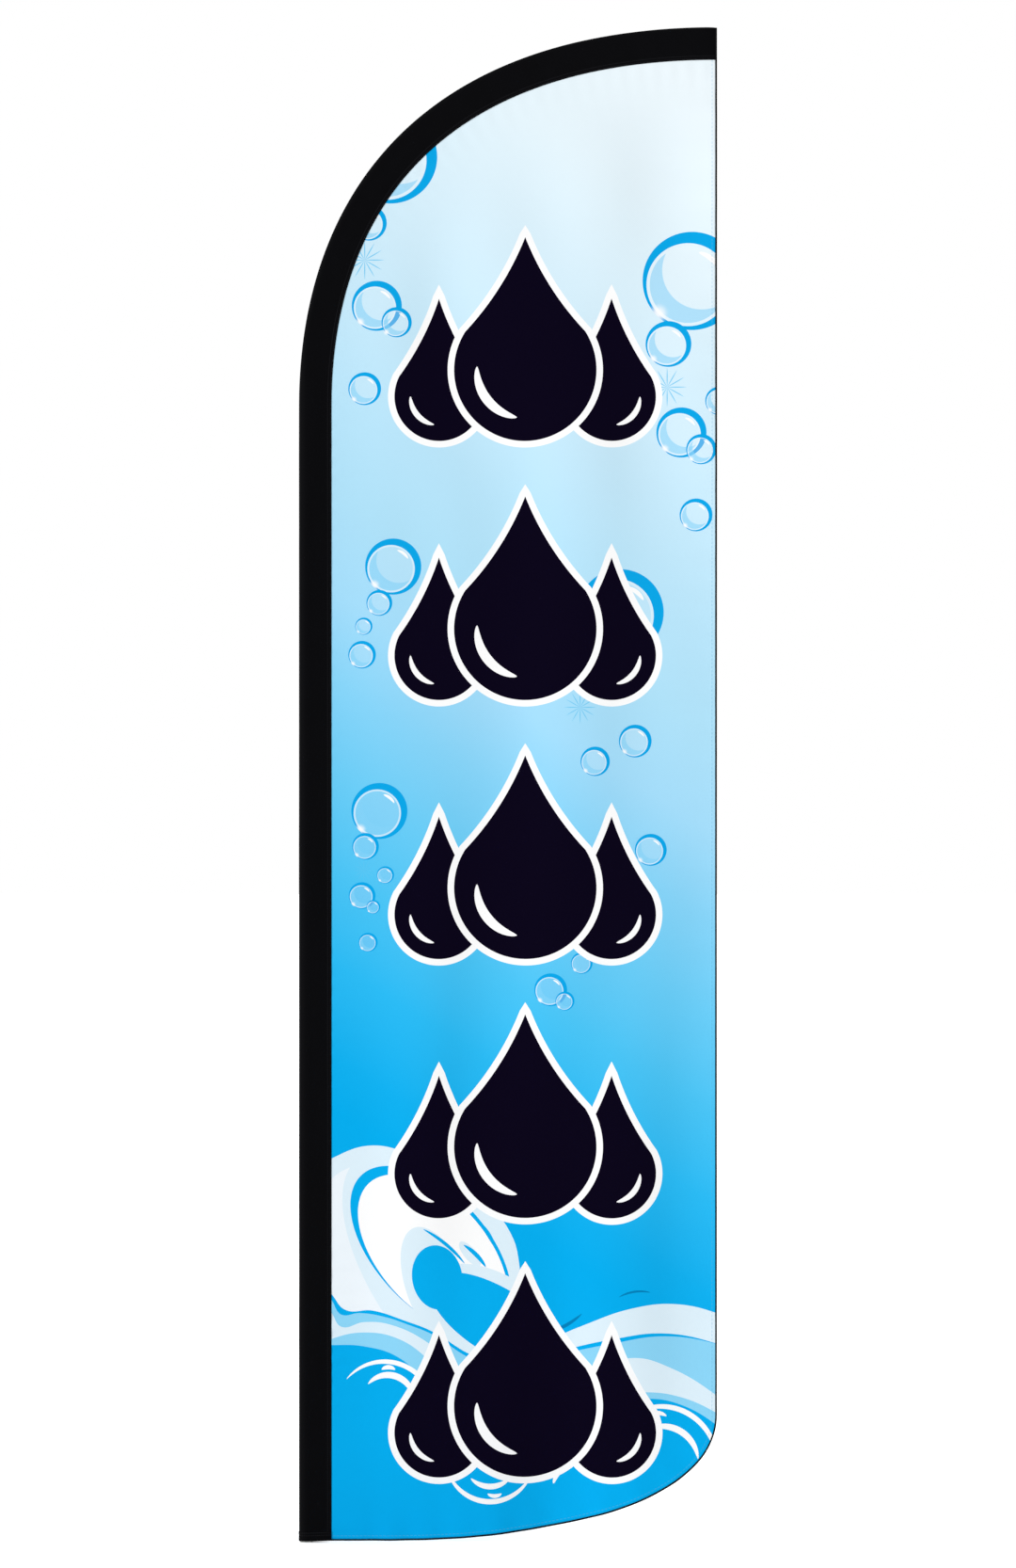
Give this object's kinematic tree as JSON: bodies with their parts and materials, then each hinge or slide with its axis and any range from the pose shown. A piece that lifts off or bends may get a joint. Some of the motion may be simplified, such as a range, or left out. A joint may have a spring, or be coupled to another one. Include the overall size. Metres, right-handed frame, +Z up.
{
  "type": "feather flag",
  "caption": "Tall feather flag: a printed cloth panel with a black pole sleeve that bows over its top, on a plug-together mast that turns on a short threaded spindle.",
  "frame": {"origin": "centre of the spindle's base face, on the mast's axis", "axes": "+Z up the mast, +X from the mast towards the free edge of the cloth, -Y out of the printed front"},
  "size_m": [0.9681, 0.0328, 3.508],
  "materials": {
    "printed_polyester": "matt knitted polyester, printed through",
    "black_polyester": "matt woven polyester",
    "black_webbing": "matt ribbed webbing",
    "anodised_aluminium": "satin anodised",
    "zinc_plated_steel": "satin zinc plate",
    "black_nylon": "satin moulded",
    "black_rubber": "matt",
    "black_fibreglass": "satin resin over fibre"
  },
  "bodies": {
    "spindle": {"spindle_post": "zinc_plated_steel", "thrust_washer": "black_nylon", "retaining_washer": "zinc_plated_steel", "retaining_screw": "zinc_plated_steel"},
    "hub": {"hub_sleeve": "anodised_aluminium", "lower_bush": "black_nylon", "upper_bush": "black_nylon", "lower_rubber_ring": "black_rubber", "upper_rubber_ring": "black_rubber", "hub_cap": "black_nylon"},
    "lower_mast": {"foot_ferrule": "black_nylon", "lower_tube": "anodised_aluminium", "lower_tube_collar": "black_nylon"},
    "middle_mast": {"middle_tube": "anodised_aluminium", "middle_stop_ring": "black_nylon", "middle_tube_collar": "black_nylon"},
    "upper_mast": {"upper_tube": "anodised_aluminium", "upper_stop_ring": "black_nylon", "tip_ferrule": "black_nylon"},
    "flag": {"tip_rod": "black_fibreglass", "tip_cap": "black_rubber", "tip_pocket_strap": "black_webbing", "pole_sleeve": "black_polyester", "mouth_binding": "black_polyester", "flag_panel": "printed_polyester", "edge_binding": "black_polyester"}
  },
  "joints": [
    {"name": "flag_turn", "type": "hinge", "parent": "spindle", "child": "hub", "pos_m": [0, 0, 0], "axis": [0, 0, 1], "continuous": true},
    {"name": "mast_lift", "type": "slide", "parent": "hub", "child": "lower_mast", "axis": [0, 0, 1], "range_m": [0, 0.12]},
    {"name": "middle_tube_draw", "type": "slide", "parent": "lower_mast", "child": "middle_mast", "axis": [0, 0, 1], "range_m": [0, 0.12]},
    {"name": "upper_tube_draw", "type": "slide", "parent": "middle_mast", "child": "upper_mast", "axis": [0, 0, 1], "range_m": [0, 0.12]},
    {"name": "tip_draw", "type": "slide", "parent": "upper_mast", "child": "flag", "axis": [0, 0, 1], "range_m": [0, 0.08]}
  ]
}
